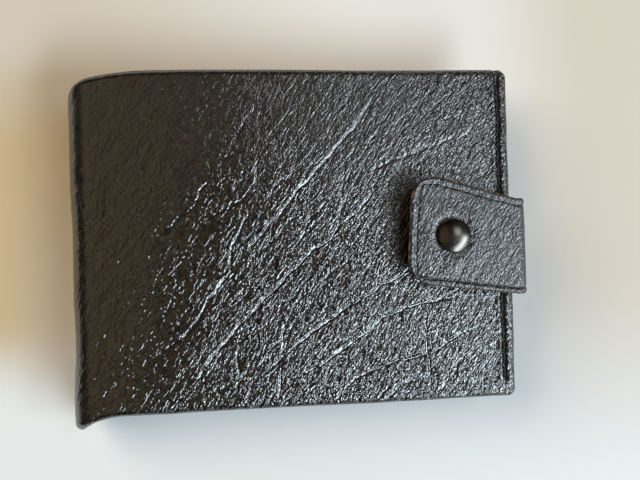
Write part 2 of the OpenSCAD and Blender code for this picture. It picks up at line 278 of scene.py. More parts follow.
def crease(x, y, points, width, depth, seed):
    """Height of one crease, a valley along a line of points."""
    d, along = crease_line(x, y, points, seed)
    fade = soft(along, 0, 0.15) * (1 - soft(along, 0.85, 1))
    return -depth * fade * np.exp(-(d / width) ** 2)


COVER_CREASES = [
    # points on the cover and the depth of the valley
    ([(-30.5, -40.3), (-27, -36.3), (-23.8, -32), (-21.1, -29.4),
      (-17.5, -24.7), (-11.5, -19.3), (-9.3, -16), (-5.7, -13.9),
      (-2.9, -10.2), (5, -3), (8.8, -0.8), (10.6, 1.9), (17.3, 7.2),
      (21.7, 12.1), (24.8, 15.9)], 0.30),
    ([(-41.3, -34.2), (-37.3, -30.5), (-31, -25.7), (-27, -21.6),
      (-25.2, -17.7), (-20.6, -11.2), (-18.4, -9.4)], 0.24),
    ([(-18.4, -9.4), (-18, -5.4), (-17.4, -1.4), (-15, 2.6), (-13, 6.6),
      (-13.4, 9.2), (-11.1, 13.2), (-10.2, 18.6), (-10.1, 23.5)], 0.16),
    ([(-15.4, -4), (-11.5, -1), (-8.7, 2.4), (-5.2, 5.5), (-1.8, 9.8),
      (1, 13), (4.4, 16.5), (9.5, 22.4), (13.8, 27), (17.2, 30.6),
      (19.5, 34.1), (22.7, 37.4)], 0.28),
    ([(-36.5, -0.1), (-33.3, 3.5), (-30.7, 6.1), (-27, 9), (-25.8, 12.7),
      (-22.2, 16.7)], 0.22),
    ([(-20.9, 18.8), (-17.6, 23.3), (-15.3, 27.3), (-13.3, 31.6),
      (-9.7, 36.5)], 0.18),
    ([(-10.6, -36.5), (-5.7, -33.3), (-2.4, -30.2), (5.4, -24.6),
      (9.6, -22), (13.8, -18.7), (18, -16.6), (23.7, -13.5), (27, -11.8),
      (33.7, -7.5)], 0.27),
    ([(-6.2, -43.5), (-5.5, -38.1), (-4.4, -27.4), (-3.7, -21.5)], 0.14),
    ([(-0.4, -37.9), (5.1, -34.9), (10.7, -31.3), (16.3, -27.8),
      (23.4, -22.6), (27.7, -21.1), (33.4, -18.9), (47.7, -17.4)], 0.2),
    ([(11.1, 1.9), (12.4, 8.7), (13.1, 14), (14, 20), (17.9, 26.4)], 0.15),
    ([(-25.2, 5.2), (-20.6, 7.2), (-15.3, 9.5), (-11.9, 13.2)], 0.16),
    ([(10.4, -42.2), (15, -38.9), (21.6, -36.2), (27.8, -34.3),
      (35.8, -33), (40.1, -30.7), (44.5, -28.2), (56.7, -23.6)], 0.2),
    ([(20, 17.6), (24.4, 19.2), (28.9, 21.3), (34.7, 23.2), (40.4, 25.1),
      (45.4, 27.8)], 0.18),
    ([(35.9, -42.4), (35.9, -38), (35.2, -32.5), (35.1, -27.8),
      (34.7, -21.4)], 0.18),
    ([(0.6, -1.1), (2.9, 3.5), (5.8, 6.9), (9.1, 10.1)], 0.12),
    ([(-17.7, -41.5), (-16.5, -36.3), (-16.9, -30.9), (-15.6, -25.6)],
     0.12),
    ([(-25.9, -42.4), (-25.5, -38.5), (-25.9, -33.1)], 0.12),
    ([(22.4, -46.4), (27, -41), (34.2, -39.6), (40.5, -37.7)], 0.14),
    # the leather is pressed where it starts to roll round the spine
    ([(-51.5, -3), (-50.2, 8.2), (-49.8, 16.6), (-49.1, 23.2),
      (-47.9, 34)], 0.05),
]


def crease_field(x, y, front):
    """Distance to the nearest crease, and its depth there."""
    nearest = np.full(x.shape, 9.0)
    depths = np.zeros(x.shape)
    for k, (points, depth) in enumerate(COVER_CREASES):
        if not front:
            points = [(x0, -y0) for x0, y0 in points]
        d, along = crease_line(x, y, points, 20 + k)
        fade = soft(along, 0, 0.12) * (1 - soft(along, 0.88, 1))
        fade = fade * (0.8 + 0.3 * lattice(x, y, 5.0, 24 + k))
        # weaker toward the spine, the free edge and the open side
        fade = fade * (0.5 + 0.5 * soft(x, -36, -2))
        fade = fade * (1 - 0.2 * soft(x, -8, 40)) * (
            1 - 0.4 * soft(y, -2, 22))
        closer = (np.abs(d) < np.abs(nearest)) & (along > 0) & (along < 1)
        nearest = np.where(closer, d, nearest)
        depths = np.where(closer, depth * fade, depths)
    return nearest, depths * np.exp(-(nearest / 2.2) ** 2)


def cover_relief(x, y, front, line, depth):
    """Height of the worn cover over the flat sheet."""
    turn = 1 if front else -1
    h = waves(x, y, (0.16, 17, 3), (0.09, 8, 4))
    # fine wrinkles, three times as long as wide, along the same diagonal
    along, across = (x + turn * y) / 1.41, (x - turn * y) / 1.41
    h += 0.05 * (1 - 2.2 * np.abs(lattice(along / 3.2, across, 2.6, 5)))
    return h - 0.35 * depth * np.exp(-(line / 1.1) ** 2)


# %% [markdown]
# ## The cover
#
# One piece of leather is turned in round its board at the free edge, runs
# flat to the spine and rolls round it. Half of it belongs to the front and
# half to the back, and they meet in the middle of the spine. A column of the
# grid is a distance along this path and a row a distance up the cover. Both
# start and end under the turned hem.

# %% The path of the cover leather
EDGE_R = 1.9        # rounding of the turned edges
LIP_R = 0.5         # small rounding at the inner side of a turned edge
HEM_X, HEM_Y = 5.0, 4.0
PLAN_R = 2.2        # the two outer corners, seen from above
COVER_T = 0.4       # the outer layer of skin that the grain is on
FLAT_END = RIGHT - EDGE_R
EDGE_STEP = 0.2     # between grid points near an edge or a seam


def edge_turn(depth, hem):
    """Samples of (inset, depth) from under the hem, round the edge."""
    hem_part = [(a, depth) for a in (hem, hem / 2, 1.2, LIP_R)]
    lip = [(LIP_R * (1 - np.sin(t)), depth - LIP_R * (1 - np.cos(t)))
           for t in np.radians((30, 60, 90))]
    turn = [(EDGE_R * (1 - np.cos(t)), EDGE_R * (1 - np.sin(t)))
            for t in np.radians(range(0, 91, 15))]
    return np.array(hem_part + lip + turn)


def dip(x):
    """The cover's top edge, which falls toward the spine."""
    run, radius, shoulder = 25.0, 83.0, 4.5
    long_fall = TOP - radius + np.sqrt(
        radius ** 2 - np.clip(SPINE + run - x, 0, run) ** 2)
    cx = SPINE + shoulder
    cy = TOP - radius + np.sqrt((radius - shoulder) ** 2
                                - (run - shoulder) ** 2)
    turn_down = cy + np.sqrt(np.clip(shoulder ** 2 - (x - cx) ** 2, 0, None))
    return np.where(x < cx - 1.2, np.minimum(turn_down, long_fall), long_fall)


def ear(x):
    """The bottom edge, which runs down to a point at the spine."""
    t = np.clip((SPINE + 14 - x) / 14, 0, 1)
    return BOTTOM - EAR * t * t


FLAT_L = FLAT_END - HINGE.x
ROLL_L = ROLL * np.pi / 2
STRIP_L = TOTAL / 2 - ROLL


def cover_place(front, side_turn, rows_bottom, rows_top):
    """Returns the function that puts grid points of one cover half.

    A column below 0 counts samples of side_turn; from 0 on it is mm along
    the flat, the roll and the spine. A row below 0 counts samples of the
    bottom edge, one above 1 those of the top edge, and from 0 to 1 it is
    the share of the height between them."""
    n_b, n_t = len(rows_bottom), len(rows_top)

    def place(c, r):
        # the free edge, then the way along the flat and round the roll
        k = np.clip(np.round(c + len(side_turn)).astype(int), 0,
                    len(side_turn) - 1)
        at_side = c < 0
        inset = np.where(at_side, side_turn[k, 0], EDGE_R)
        side_d = np.where(at_side, side_turn[k, 1], 0.0)
        s = np.clip(c, 0, None)
        phi = np.clip((s - FLAT_L) / ROLL, 0, np.pi / 2)
        strip = np.clip(s - FLAT_L - ROLL_L, 0, None)
        x0 = np.where(s <= FLAT_L, RIGHT - inset - s,
                      HINGE.x - ROLL * np.sin(phi))
        d0 = ROLL * (1 - np.cos(phi)) + strip
        # the bottom and top edges
        kb = np.clip(np.round(r + n_b).astype(int), 0, n_b - 1)
        kt = np.clip(np.round(n_t - 1 - (r - 2)).astype(int), 0, n_t - 1)

        def by_row(at_bottom, at_top, between):
            return np.where(r < 0, at_bottom,
                            np.where(r > 1.5, at_top, between))

        b = by_row(rows_bottom[kb, 0], rows_top[kt, 0], EDGE_R)
        dv = by_row(rows_bottom[kb, 1], rows_top[kt, 1], 0.0)
        toward = soft(s, FLAT_L - 12, FLAT_L + 3)
        dv = np.minimum(dv, HEM_DEPTH * (1 - toward) + 1.9 * toward)
        share = np.clip(r, 0, 1)
        y = by_row(ear(x0) + b, dip(x0) - b, (ear(x0) + EDGE_R) * (1 - share)
                   + (dip(x0) - EDGE_R) * share)
        # relief of the worn leather, on the faces that show
        path = FLAT_END - s
        line, depth = crease_field(path, y, front)
        shown = soft(side_d + dv, 2.2, 0.4)
        out = (cover_relief(path, y, front, line, depth) * shown
               + seam_groove(x0, y))
        below = np.minimum(side_d + dv, HEM_DEPTH) - out
        x = x0 + np.sin(phi) * (dv - out)
        d = np.where(s <= FLAT_L, below, d0 + np.cos(phi) * (dv - out))
        # the two outer corners are round in plan
        x, y = round_corner(x, y, RIGHT, TOP, PLAN_R, 1)
        x, y = round_corner(x, y, RIGHT, BOTTOM, PLAN_R, -1)
        # worn edges are not quite straight
        wave = waves(y, d, (0.22, 13, 71), (0.12, 5, 72))
        x = x + wave * soft(x, RIGHT - 4, RIGHT) * 0.7
        x = x + 0.3 * lattice(y, d * 0, 14, 73) * soft(x, HINGE.x, SPINE)
        edge = soft(np.abs(y), TOP - 5, TOP)
        y = y + edge * 0.16 * lattice(x, y * 0, 9, 74 if front else 75)
        z = TOTAL - d if front else np.maximum(d, 0.0)
        return np.stack([x, y, z], 1), line, depth * shown

    return place


def round_corner(x, y, cx, cy, radius, sign):
    """Pulls a square corner of the grid in to a round one."""
    u = np.clip((x - cx + radius) / radius, 0, 1)
    v = np.clip((sign * (y - cy) + radius) / radius, 0, 1)
    both = (u > 0) & (v > 0)
    u2, v2 = u * np.sqrt(1 - v * v / 2), v * np.sqrt(1 - u * u / 2)
    x = np.where(both, x + (u2 - u) * radius, x)
    y = np.where(both, y + (v2 - v) * radius * sign, y)
    return x, y


# %% [markdown]
# The seam along the free edge lies in a groove that was pressed before it
# was sewn. The thread has pulled it deeper at each hole, and the leather
# beside it stands up a little.

# %% The sewn groove
SEAM_X = (low("stitches_front").x + high("stitches_front").x) / 2
SEAM_LOW = low("stitches_front").y
STITCH_PITCH = 3.6


def seam_middle(y):
    """The seam wanders a little from a straight line."""
    return SEAM_X + 0.22 * lattice(y, y * 0, 11, 60)


def seam_groove(x, y):
    d = np.abs(x - seam_middle(y))
    on = soft(y, SEAM_LOW - 1.5, SEAM_LOW)
    pulled = 0.62 + 0.12 * np.cos((y - SEAM_LOW) / STITCH_PITCH * 2 * np.pi)
    ridge = 0.12 * np.exp(-((d - 1.25) / 0.45) ** 2)
    return on * (ridge - pulled * np.exp(-(d / 0.55) ** 4))


# %% Build both halves of the cover
side = edge_turn(HEM_DEPTH, HEM_X)
bottom_turn = edge_turn(HEM_DEPTH, HEM_Y)
top_turn = edge_turn(NOTE_DEPTH, HEM_Y)
path_end = FLAT_L + ROLL_L + STRIP_L
seam_s = FLAT_END - SEAM_X
FINE, ROW_COUNT = 0.545, 168    # as fine as 200,000 triangles allow
columns = np.concatenate([
    np.arange(-len(side), 0),
    steps((0, seam_s + 2, EDGE_STEP), (seam_s + 2, FLAT_L - 2, FINE),
          (FLAT_L - 2, path_end, 0.55))])
rows = np.concatenate([
    np.arange(-len(bottom_turn), 0), np.linspace(0, 1, ROW_COUNT),
    2 + np.arange(len(top_turn))])


def cover_half(name, front):
    obj = sheet_mesh(name, columns, rows,
                     cover_place(front, side, bottom_turn, top_turn))
    open_mesh(obj)
    bpy.ops.mesh.remove_doubles(threshold=0.02 * MM)
    close_mesh()
    make_solid(obj, (0, 0, 1 if front else -1), COVER_T, 50)
    return obj


cover_front = cover_half("cover_front", True)
cover_back = cover_half("cover_back", False)
print("cover faces:", len(cover_front.data.polygons))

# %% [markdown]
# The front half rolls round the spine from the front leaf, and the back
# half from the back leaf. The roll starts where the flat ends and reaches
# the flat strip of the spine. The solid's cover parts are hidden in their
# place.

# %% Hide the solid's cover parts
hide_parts("outer_front", "fold_upper", "outer_spine")
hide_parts("outer_back", "fold_lower", "outer_spine")
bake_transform(cover_front)
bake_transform(cover_back)

# %% [markdown]
# ## The cloth lining
#
# Inside the note pocket the cover is lined with thin cloth. It follows the
# same path as the leather, one board's thickness further in, so the same
# idea makes it, without the hems.

# %% Build the lining
LINING_T = NOTE_DEPTH - LINING_DEPTH
lining_r = ROLL - LINING_DEPTH


def lining_half(name, front):
    x_end, y_high, _ = high("lining_front")
    y0 = low("lining_front").y
    flat, roll = x_end - HINGE.x, lining_r * np.pi / 2

    def place(c, r):
        phi = np.clip((c - flat) / lining_r, 0, np.pi / 2)
        strip = np.clip(c - flat - roll, 0, None)
        x = np.where(c <= flat, x_end - c, HINGE.x - lining_r * np.sin(phi))
        d = LINING_DEPTH + lining_r * (1 - np.cos(phi)) + strip
        top = y_high - (y_high - high("lining_spine").y) * soft(
            c, flat - 8, flat + 5)
        y = y0 + r * (top - y0)
        d = d + 0.05 * (1 + lattice(x, y, 9, 80))
        return np.stack([x, y, TOTAL - d if front else d], 1)

    obj = sheet_mesh(name, steps((0, flat - 1, 2.0),
                                 (flat - 1, flat + roll + STRIP_L, 0.5)),
                     np.linspace(0, 1, 42), place)
    make_solid(obj, (0, 0, 1 if front else -1), LINING_T - 0.12)
    return obj


lining_front = lining_half("lining_cloth_front", True)
lining_back = lining_half("lining_cloth_back", False)
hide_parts("lining_front", "lining_fold_upper",
            "lining_spine")
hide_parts("lining_back", "lining_fold_lower", "lining_spine")
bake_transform(lining_front)
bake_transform(lining_back)

# %% [markdown]
# ## The tab
#
# The tab is a strap of two leathers, sewn flat and cut raw, so its edge
# shows both layers. It starts inside the back cover's hem, turns up the
# side and folds over the front to its snap. A grid again gives full control:
# its columns run along the strap and its rows across it.

# %% Where the tab lies
TAB_LOW, TAB_HIGH = hinge("tab_base_fold"), hinge("tab_top_fold")
TAB_TOP = high("flap_leather").z
TAB_OUT = high("riser_leather").x
TAB_Y0, TAB_Y1 = low("riser_leather").y, high("riser_leather").y
FOLD_R = TAB_TOP - TAB_HIGH.z
LOW_R = TAB_OUT - TAB_LOW.x
LEATHER_T = TAB_TOP - low("flap_leather").z
TAB_LINING_T = high("flap_lining").z - low("flap_lining").z
SNAP = (low("snap_cap") + high("snap_cap")) / 2
# the flap leans up and widens: its free corners before they are rounded
REACH_LOW, REACH_HIGH = 31.6, 29.6
LIFT_LOW, LIFT_HIGH = 3.8, 8.3
FREE_LOW = Vector((RIGHT - REACH_LOW, TAB_Y0 + LIFT_LOW))
FREE_HIGH = Vector((RIGHT - REACH_HIGH, TAB_Y1 + LIFT_HIGH))
CORNER_LOW, CORNER_HIGH = 6.7, 9.0
print("tab", [round(v, 1) for v in (TAB_TOP, TAB_OUT, TAB_Y0, TAB_Y1)])


# %% Build a strap
def flap_point(p, q, lip):
    """Plan place of a point p mm from the free end and q mm up the tab."""
    p, q = round_corner(-p, q, 0, 0, CORNER_LOW, -1)
    p, q = round_corner(p, q, 0, FLAP_W, CORNER_HIGH, 1)
    p = -p
    a = (lip + p * (FLAP_L - lip) / FLAP_L) / FLAP_L
    b = (lip + q * (FLAP_W - 2 * lip) / FLAP_W) / FLAP_W
    x = (1 - a) * ((1 - b) * FREE_LOW.x + b * FREE_HIGH.x) + a * TAB_HIGH.x
    y = ((1 - a) * ((1 - b) * FREE_LOW.y + b * FREE_HIGH.y)
         + a * ((1 - b) * TAB_Y0 + b * TAB_Y1))
    return x, y


FLAP_L = TAB_HIGH.x - (FREE_LOW.x + FREE_HIGH.x) / 2
FLAP_W = 30.0
UP_L = FOLD_R * np.pi / 2
RISE_L = TAB_HIGH.z - TAB_LOW.z
LOW_L = LOW_R * np.pi / 2
LOW_START = FLAP_L + UP_L + RISE_L
MID = FLAP_L + UP_L + RISE_L / 2
END = LOW_START + LOW_L
TAIL_L = 9.2        # sewn between the lining and the base panel
BAND, TAB_STEP = 3.0, 0.42
PAINTED = 0.4       # width of the painted raw edge
RIM = 2.1           # from the tab's edge to the line pressed inside it


def tab_edge(s, q):
    """Distance to the nearest raw edge."""
    return np.minimum(np.minimum(q, FLAP_W - q), s)


def rim_line(s, q):
    """Distance inward from the line that is pressed inside the edge."""
    return tab_edge(s, q) - RIM - 0.12 * lattice(s, q, 3.0, 90)


def tab_relief(s, q, x, y):
    """Worn surface of the tab: a creased line inside its edge, a dent
    round the snap and soft wrinkles where it folds."""
    edge = tab_edge(s, q)
    h = -0.3 * (1 - soft(edge, 0, 0.55)) - 0.02
    line = rim_line(s, q)
    h += -0.15 * np.exp(-(line / 0.45) ** 2)
    h += 0.08 * np.exp(-((line + 1.1) / 0.6) ** 2)
    r = np.hypot(x - SNAP.x, y - SNAP.y)
    on_flap = s < FLAP_L + 1
    dent = -0.38 * (1 - soft(r, 4.3, 6.6)) + 0.07 * np.exp(
        -((r - 7.2) / 1.2) ** 2)
    h += np.where(on_flap, dent, 0)
    h += 0.10 * lattice(x, y, 7, 91) + 0.05 * lattice(s, q, 3, 92)
    h -= 0.1 * soft(s, FLAP_L - 5, FLAP_L) * np.abs(lattice(q, s, 2.2, 93))
    for points, width, depth, seed in (
            ([(6, 3), (13, 9), (16, 14)], 0.35, 0.12, 94),
            ([(20, 18), (25, 25)], 0.35, 0.1, 95),
            ([(4, 14), (8, 22)], 0.3, 0.1, 96)):
        h += crease(s, q, points, width, depth, seed)
    return h


def strap(name, start, end, inner, lip, relief):
    """A layer of the tab from start to end, mm along it from the free end,
    inner mm under the tab's outer face."""
    def place(s, q):
        phi = np.clip((s - FLAP_L) / FOLD_R, 0, np.pi / 2)
        down = np.clip(s - FLAP_L - UP_L, 0, RISE_L)
        psi = np.clip((s - LOW_START) / LOW_R, 0, np.pi / 2)
        tail = np.clip(s - END, 0, None)
        px, py = flap_point(np.clip(s, 0, FLAP_L), q, lip)
        width = TAB_Y1 - TAB_Y0 - 2 * lip
        y_strap = TAB_Y0 + lip + q / FLAP_W * width
        x = np.where(s <= FLAP_L, px, TAB_HIGH.x + FOLD_R * np.sin(phi))
        y = np.where(s <= FLAP_L, py, y_strap)
        z = TAB_TOP - FOLD_R * (1 - np.cos(phi)) - down
        low_turn = s > LOW_START
        x = np.where(low_turn, TAB_LOW.x + LOW_R * np.cos(psi) - tail, x)
        z = np.where(low_turn, TAB_LOW.z - LOW_R * np.sin(psi), z)
        nx = np.where(low_turn, np.cos(psi), np.sin(phi))
        nz = np.where(low_turn, -np.sin(psi), np.cos(phi))
        h = (tab_relief(s, q, x, y) if relief else 0) - inner
        # the free end lifts and sags a little, as worn leather does
        sag = 0.25 * lattice(x, y, 16, 97) * soft(FLAP_L - s, 0, 12)
        points = np.stack([x + nx * h, y, z + nz * h + sag], 1)
        if relief:
            return points, rim_line(s, q), np.full(s.shape, 0.06)
        return points

    edge = (0, 0.15, 0.35, 0.6)
    s = steps((start, start + BAND, EDGE_STEP), (start + BAND, end, TAB_STEP))
    if start == 0:
        s = np.unique(np.concatenate([edge, s[s > 0.7]]))
    q = np.unique(np.concatenate([
        edge, steps((0.8, BAND, EDGE_STEP), (BAND, FLAP_W - BAND, TAB_STEP),
                    (FLAP_W - BAND, FLAP_W - 0.8, EDGE_STEP)),
        FLAP_W - np.array(edge)]))
    obj = sheet_mesh(name, s, q, place)
    face_out(obj, (0, 0, 1) if start == 0 else (1, 0, 0))
    # the outermost strip is the painted raw edge, rounded over
    column, row = np.meshgrid(s, q)
    inset = np.minimum(row, FLAP_W - row)
    if start == 0:
        inset = np.minimum(inset, column)
    inset = inset.ravel()
    obj.data.materials.append(None)
    obj.data.materials.append(None)
    for face in obj.data.polygons:
        if relief and inset[list(face.vertices)].mean() < PAINTED:
            face.material_index = 1
    return obj


strap_flap = strap("tab_strap_flap", 0, MID, 0, 0, True)
strap_base = strap("tab_strap_base", MID, END + TAIL_L, 0, 0, True)
under_flap = strap("tab_lining_flap", 0, MID, LEATHER_T + 0.02, 0.5, False)
under_base = strap("tab_lining_base", MID, END - 0.1, LEATHER_T + 0.02, 0.5,
                   False)

# %% [markdown]
# The tail is skived, which means pared thin, so that it slips between the
# lining and the base panel. Its points are squeezed into that space.

# %% Pare the tail and give the layers their thickness
tail_top, tail_low = high("tab_tail").z, low("tab_tail").z
for obj, t in ((strap_flap, LEATHER_T), (strap_base, LEATHER_T),
               (under_flap, TAB_LINING_T - 0.05),
               (under_base, TAB_LINING_T - 0.05)):
    thicken(obj, t, rim=1)
    smooth(obj, 35)
pares = strap_base.data
co = np.empty(len(pares.vertices) * 3)
pares.vertices.foreach_get("co", co)
co = co.reshape(-1, 3) / MM
inside = soft(co[:, 0], TAB_LOW.x + 0.3, TAB_LOW.x - 0.6)
share = np.clip((co[:, 2] - (TAB_LOW.z - LOW_R)) / LEATHER_T, 0, 1)
co[:, 2] += inside * (co[:, 2] < TAB_LOW.z) * (
    tail_low + 0.04 + share * (tail_top - tail_low - 0.08) - co[:, 2])
pares.vertices.foreach_set("co", (co * MM).ravel())

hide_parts("flap_leather", "tab_fold_upper", "riser_leather")
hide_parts("tab_tail", "tab_fold_lower", "riser_leather")
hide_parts("flap_lining", "tab_lining_fold_upper",
            "riser_lining")
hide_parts("tab_lining_fold_lower", "riser_lining")
for obj in (strap_flap, under_flap):
    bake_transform(obj)
for obj in (strap_base, under_base):
    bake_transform(obj)

# %% [markdown]
# ## The snap's cap
#
# The cap is a thin metal dome with its rim rolled under. It is round, so a
# short profile is drawn once and spun. That gives true circles, where a
# sphere cut in half would have the wrong curve and no rim.


# %% Spin a profile
def spun(name, profile, centre, count=96):
    """A round piece from (radius, height) points, spun about its centre."""
    bpy.ops.object.select_all(action="DESELECT")
    bpy.ops.mesh.primitive_circle_add(vertices=3, radius=0.001)
    obj = bpy.context.object
    obj.name = obj.data.name = name
    mesh = bmesh.new()
    line = [mesh.verts.new((r * MM, 0, z * MM)) for r, z in profile]
    for a, b in zip(line, line[1:]):
        mesh.edges.new((a, b))
    mesh.to_mesh(obj.data)
    mesh.free()
    open_mesh(obj)
    bpy.ops.mesh.spin(steps=count, angle=2 * np.pi, center=(0, 0, 0),
                      axis=(0, 0, 1))
    bpy.ops.mesh.select_all(action="SELECT")
    bpy.ops.mesh.remove_doubles(threshold=0.005 * MM)
    bpy.ops.mesh.normals_make_consistent(inside=False)
    close_mesh()
    obj.data.transform(Matrix.Translation(Vector(centre) * MM))
    return obj


# the dome is part of a ball, and its rim part of a thinner round bead
CAP_R = (high("snap_cap").x - low("snap_cap").x) / 2
CAP_TOP = high("snap_cap").z - TAB_TOP
RIM_W, FOOT = 0.16, 0.35
rise = CAP_TOP - 0.62
ball = (CAP_R ** 2 + rise ** 2) / (2 * rise)
dome = [(ball * np.sin(t), CAP_TOP - ball * (1 - np.cos(t)))
        for t in np.linspace(0, np.arcsin((CAP_R - RIM_W) / ball), 26)]
rim = [(CAP_R - RIM_W + 0.3 * np.sin(t) * 0.5, 0.38 + 0.3 * np.cos(t))
       for t in np.radians(range(20, 181, 20))]
under = [(CAP_R - 0.5, 0.0), (CAP_R - 0.5, -FOOT), (0, -FOOT)]
snap_cap = spun("snap_cap_dome", dome + rim + under,
                (SNAP.x, SNAP.y, TAB_TOP))
smooth(snap_cap, 50)
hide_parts("snap_cap")
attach(snap_cap, "tab_flap")
print("cap faces:", len(snap_cap.data.polygons))

# %% [markdown]
# ## The sewing thread
#
# One stitch is a short rounded cylinder with its ends bent down into their
# holes. It is modelled once and copied along the groove, each copy turned
# a little, because hand-guided stitches are never quite in line.


# %% Stitch a seam
def one_stitch(radius=0.3, length=3.0, sides=8, rounding=2):
    bpy.ops.object.select_all(action="DESELECT")
    bpy.ops.mesh.primitive_cylinder_add(vertices=sides, radius=radius * MM,
                                        depth=length * MM)
    obj = bpy.context.object
    open_mesh(obj)
    if rounding:
        bpy.ops.mesh.bevel(offset=radius * 0.47 * MM, segments=rounding)
    bpy.ops.mesh.subdivide(number_cuts=1)
    close_mesh()
    for v in obj.data.vertices:
        along = v.co.z
        v.co = Vector((v.co.x, along, v.co.y))
        v.co.z -= 1.4 * radius * MM * (abs(along) / (length / 2 * MM)) ** 3
    # two axes were swapped, which mirrors a mesh and turns its faces inward
    obj.data.flip_normals()
    return obj


def sewn(name, pattern, places, up, body, node, seed):
    """A copy of the stitch at each (x, y, z, turn). The stitches look up
    if up is 1 and down if it is -1."""
    random = np.random.RandomState(seed)
    whole = bmesh.new()
    flip = Matrix.Scale(up, 4, (0, 0, 1))
    for x, y, z, angle in places:
        turn = Matrix.Rotation(angle + random.uniform(-0.05, 0.09), 4, "Z")
        place = Matrix.Translation(Vector((x, y, z)) * MM)
        known = len(whole.verts)
        whole.from_mesh(pattern.data)
        whole.verts.ensure_lookup_table()
        bmesh.ops.transform(whole, matrix=place @ turn @ flip,
                            verts=whole.verts[known:])
    if up < 0:
        # a mirrored stitch has its faces inside out
        bmesh.ops.reverse_faces(whole, faces=whole.faces)
    obj = pattern
    obj.name = obj.data.name = name
    whole.to_mesh(obj.data)
    whole.free()
    smooth(obj, 60)
    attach(obj, body)
    if node:
        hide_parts(node)
    return obj


def seam(name, heights, up, body, node, seed):
    """The main seam's stitches, along Y at the (y, z) of heights."""
    places = [(float(seam_middle(np.array([y]))[0]), y, z, 0)
              for y, z in heights]
    return sewn(name, one_stitch(), places, up, body, node, seed)


stitch_ys = np.arange(SEAM_LOW + 1.4, TOP - 2.5, STITCH_PITCH)
BASE_TOP = high("base_back").z
POCKET_T = high("pocket_back_1").z - low("pocket_back_1").z
SLOT_Y = [high("pocket_back_%d" % k).y for k in (1, 2, 3)]


def inner_level(y):
    """Height of the inner face at the seam: each pocket adds its own."""
    return BASE_TOP + POCKET_T * sum(y + 1.6 < edge for edge in SLOT_Y)


GROOVE, SUNK = 0.42, 0.08    # how deep the stitches lie outside and inside
level_ys = [y for y in stitch_ys
            if min(abs(y - edge) for edge in SLOT_Y) > 1.7]
inner = [(y, inner_level(y) - SUNK) for y in level_ys]
threads = [
    seam("thread_front", [(y, TOTAL - GROOVE) for y in stitch_ys], 1,
         "front", "stitches_front", 11),
    seam("thread_back", [(y, GROOVE) for y in stitch_ys], -1, "back",
         "stitches_back", 12),
    seam("thread_inside_back", inner, 1, "back", None, 13),
    seam("thread_inside_front", [(y, TOTAL - z) for y, z in inner], -1,
         "front", None, 14)]

# %% [markdown]
# ## The inner panels
#
# The base panels and the card pockets are thin lining leather. Each is a
# sheet whose sewn edges are pulled down to the panel below, while its open
# top edge stands clear, so that a card can go in.


# %% Build a panel
PANEL_R = 2.0
BOW = 0.26          # how far a pocket stands clear of the panel below


def panel(name, node, front, bow=0.0):
    """A leather sheet in the place of a solid node."""
    a, b = low(node), high(node)
    outer = TOTAL - a.z if front else b.z
    thick = 0.5 if bow else b.z - a.z - 0.06

    def place(x, y):
        # twice round two corners and mirrored, so all four are rounded
        for _ in range(2):
            x, y = round_corner(x, y, b.x, b.y, PANEL_R, 1)
            x, y = round_corner(x, y, b.x, a.y, PANEL_R, -1)
            x = a.x + b.x - x
        edge = np.minimum(np.minimum(x - a.x, b.x - x), y - a.y)
        top = b.y - y
        h = -bow * (1 - soft(edge, 0.8, 2.8))
        h += -0.12 * (1 - soft(np.minimum(edge, top), 0, 0.5))
        h += -0.1 * np.exp(-((top - 1.6) / 0.22) ** 2)
        h += 0.035 * lattice(x, y, 9, len(name)) - 0.03
        z = outer + h
        return np.stack([x, y, TOTAL - z if front else z], 1)

    xs = steps((a.x, a.x + 3, 0.3), (a.x + 3, b.x - 3, 1.5),
               (b.x - 3, b.x, 0.3))
    ys = steps((a.y, a.y + 3, 0.3), (a.y + 3, b.y - 2.6, 1.5),
               (b.y - 2.6, b.y, 0.2))
    obj = sheet_mesh(name, xs, ys, place)
    make_solid(obj, (0, 0, -1 if front else 1), thick)
    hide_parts(node)
    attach(obj, "front" if front else "back")
    return obj


panels = []
for half, front in (("back", False), ("front", True)):
    panels.append(panel("base_panel_" + half, "base_" + half, front))
    for k in (1, 2, 3):
        panels.append(panel("card_pocket_%s_%d" % (half, k),
                            "pocket_%s_%d" % (half, k), front, BOW))
print("panels:", len(panels))

# %% [markdown]
# ## The centre leaf
#
# The leaf's shell and its frame have the right outlines already. In a copy
# of each solid the doubled points are merged and the edges softened, and it
# takes the solid's place.


# %% Soften a copy of a solid
def softened(name, node):
    source = frame["nodes"][node]
    obj = bpy.data.objects.new(name, source.data.copy())
    bpy.context.scene.collection.objects.link(obj)
    obj.data.name = name
    obj.data.materials.clear()
    open_mesh(obj)
    bpy.ops.mesh.remove_doubles(threshold=0.005 * MM)
    bpy.ops.mesh.dissolve_limited(angle_limit=np.radians(4))
    close_mesh()
    bevel = obj.modifiers.new("soft edge", "BEVEL")
    bevel.width = 0.22 * MM
    bevel.segments = 3
    bevel.limit_method = "ANGLE"
    bevel.angle_limit = np.radians(50)
    apply_all(obj)
    smooth(obj)
    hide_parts(node)
    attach(obj, "leaf")
    return obj


leaf_back = softened("leaf_shell_leather", "leaf_shell")
leaf_front = softened("leaf_frame_leather", "leaf_frame")

# %% [markdown]
# Fine thread runs round three sides of the leaf, which stays open at the
# top for a card, and round its window. It is half as thick as the thread of
# the cover, and its stitches are short and plain, because there are many.

# %% Stitch the leaf
LEAF_LOW, LEAF_HIGH = low("leaf_shell"), high("leaf_frame")
FILM_LOW, FILM_HIGH = low("leaf_window"), high("leaf_window")
FINE_PITCH, FINE_SUNK = 2.5, 0.07
FINE_STITCH = (0.25, 2.1, 6, 0)


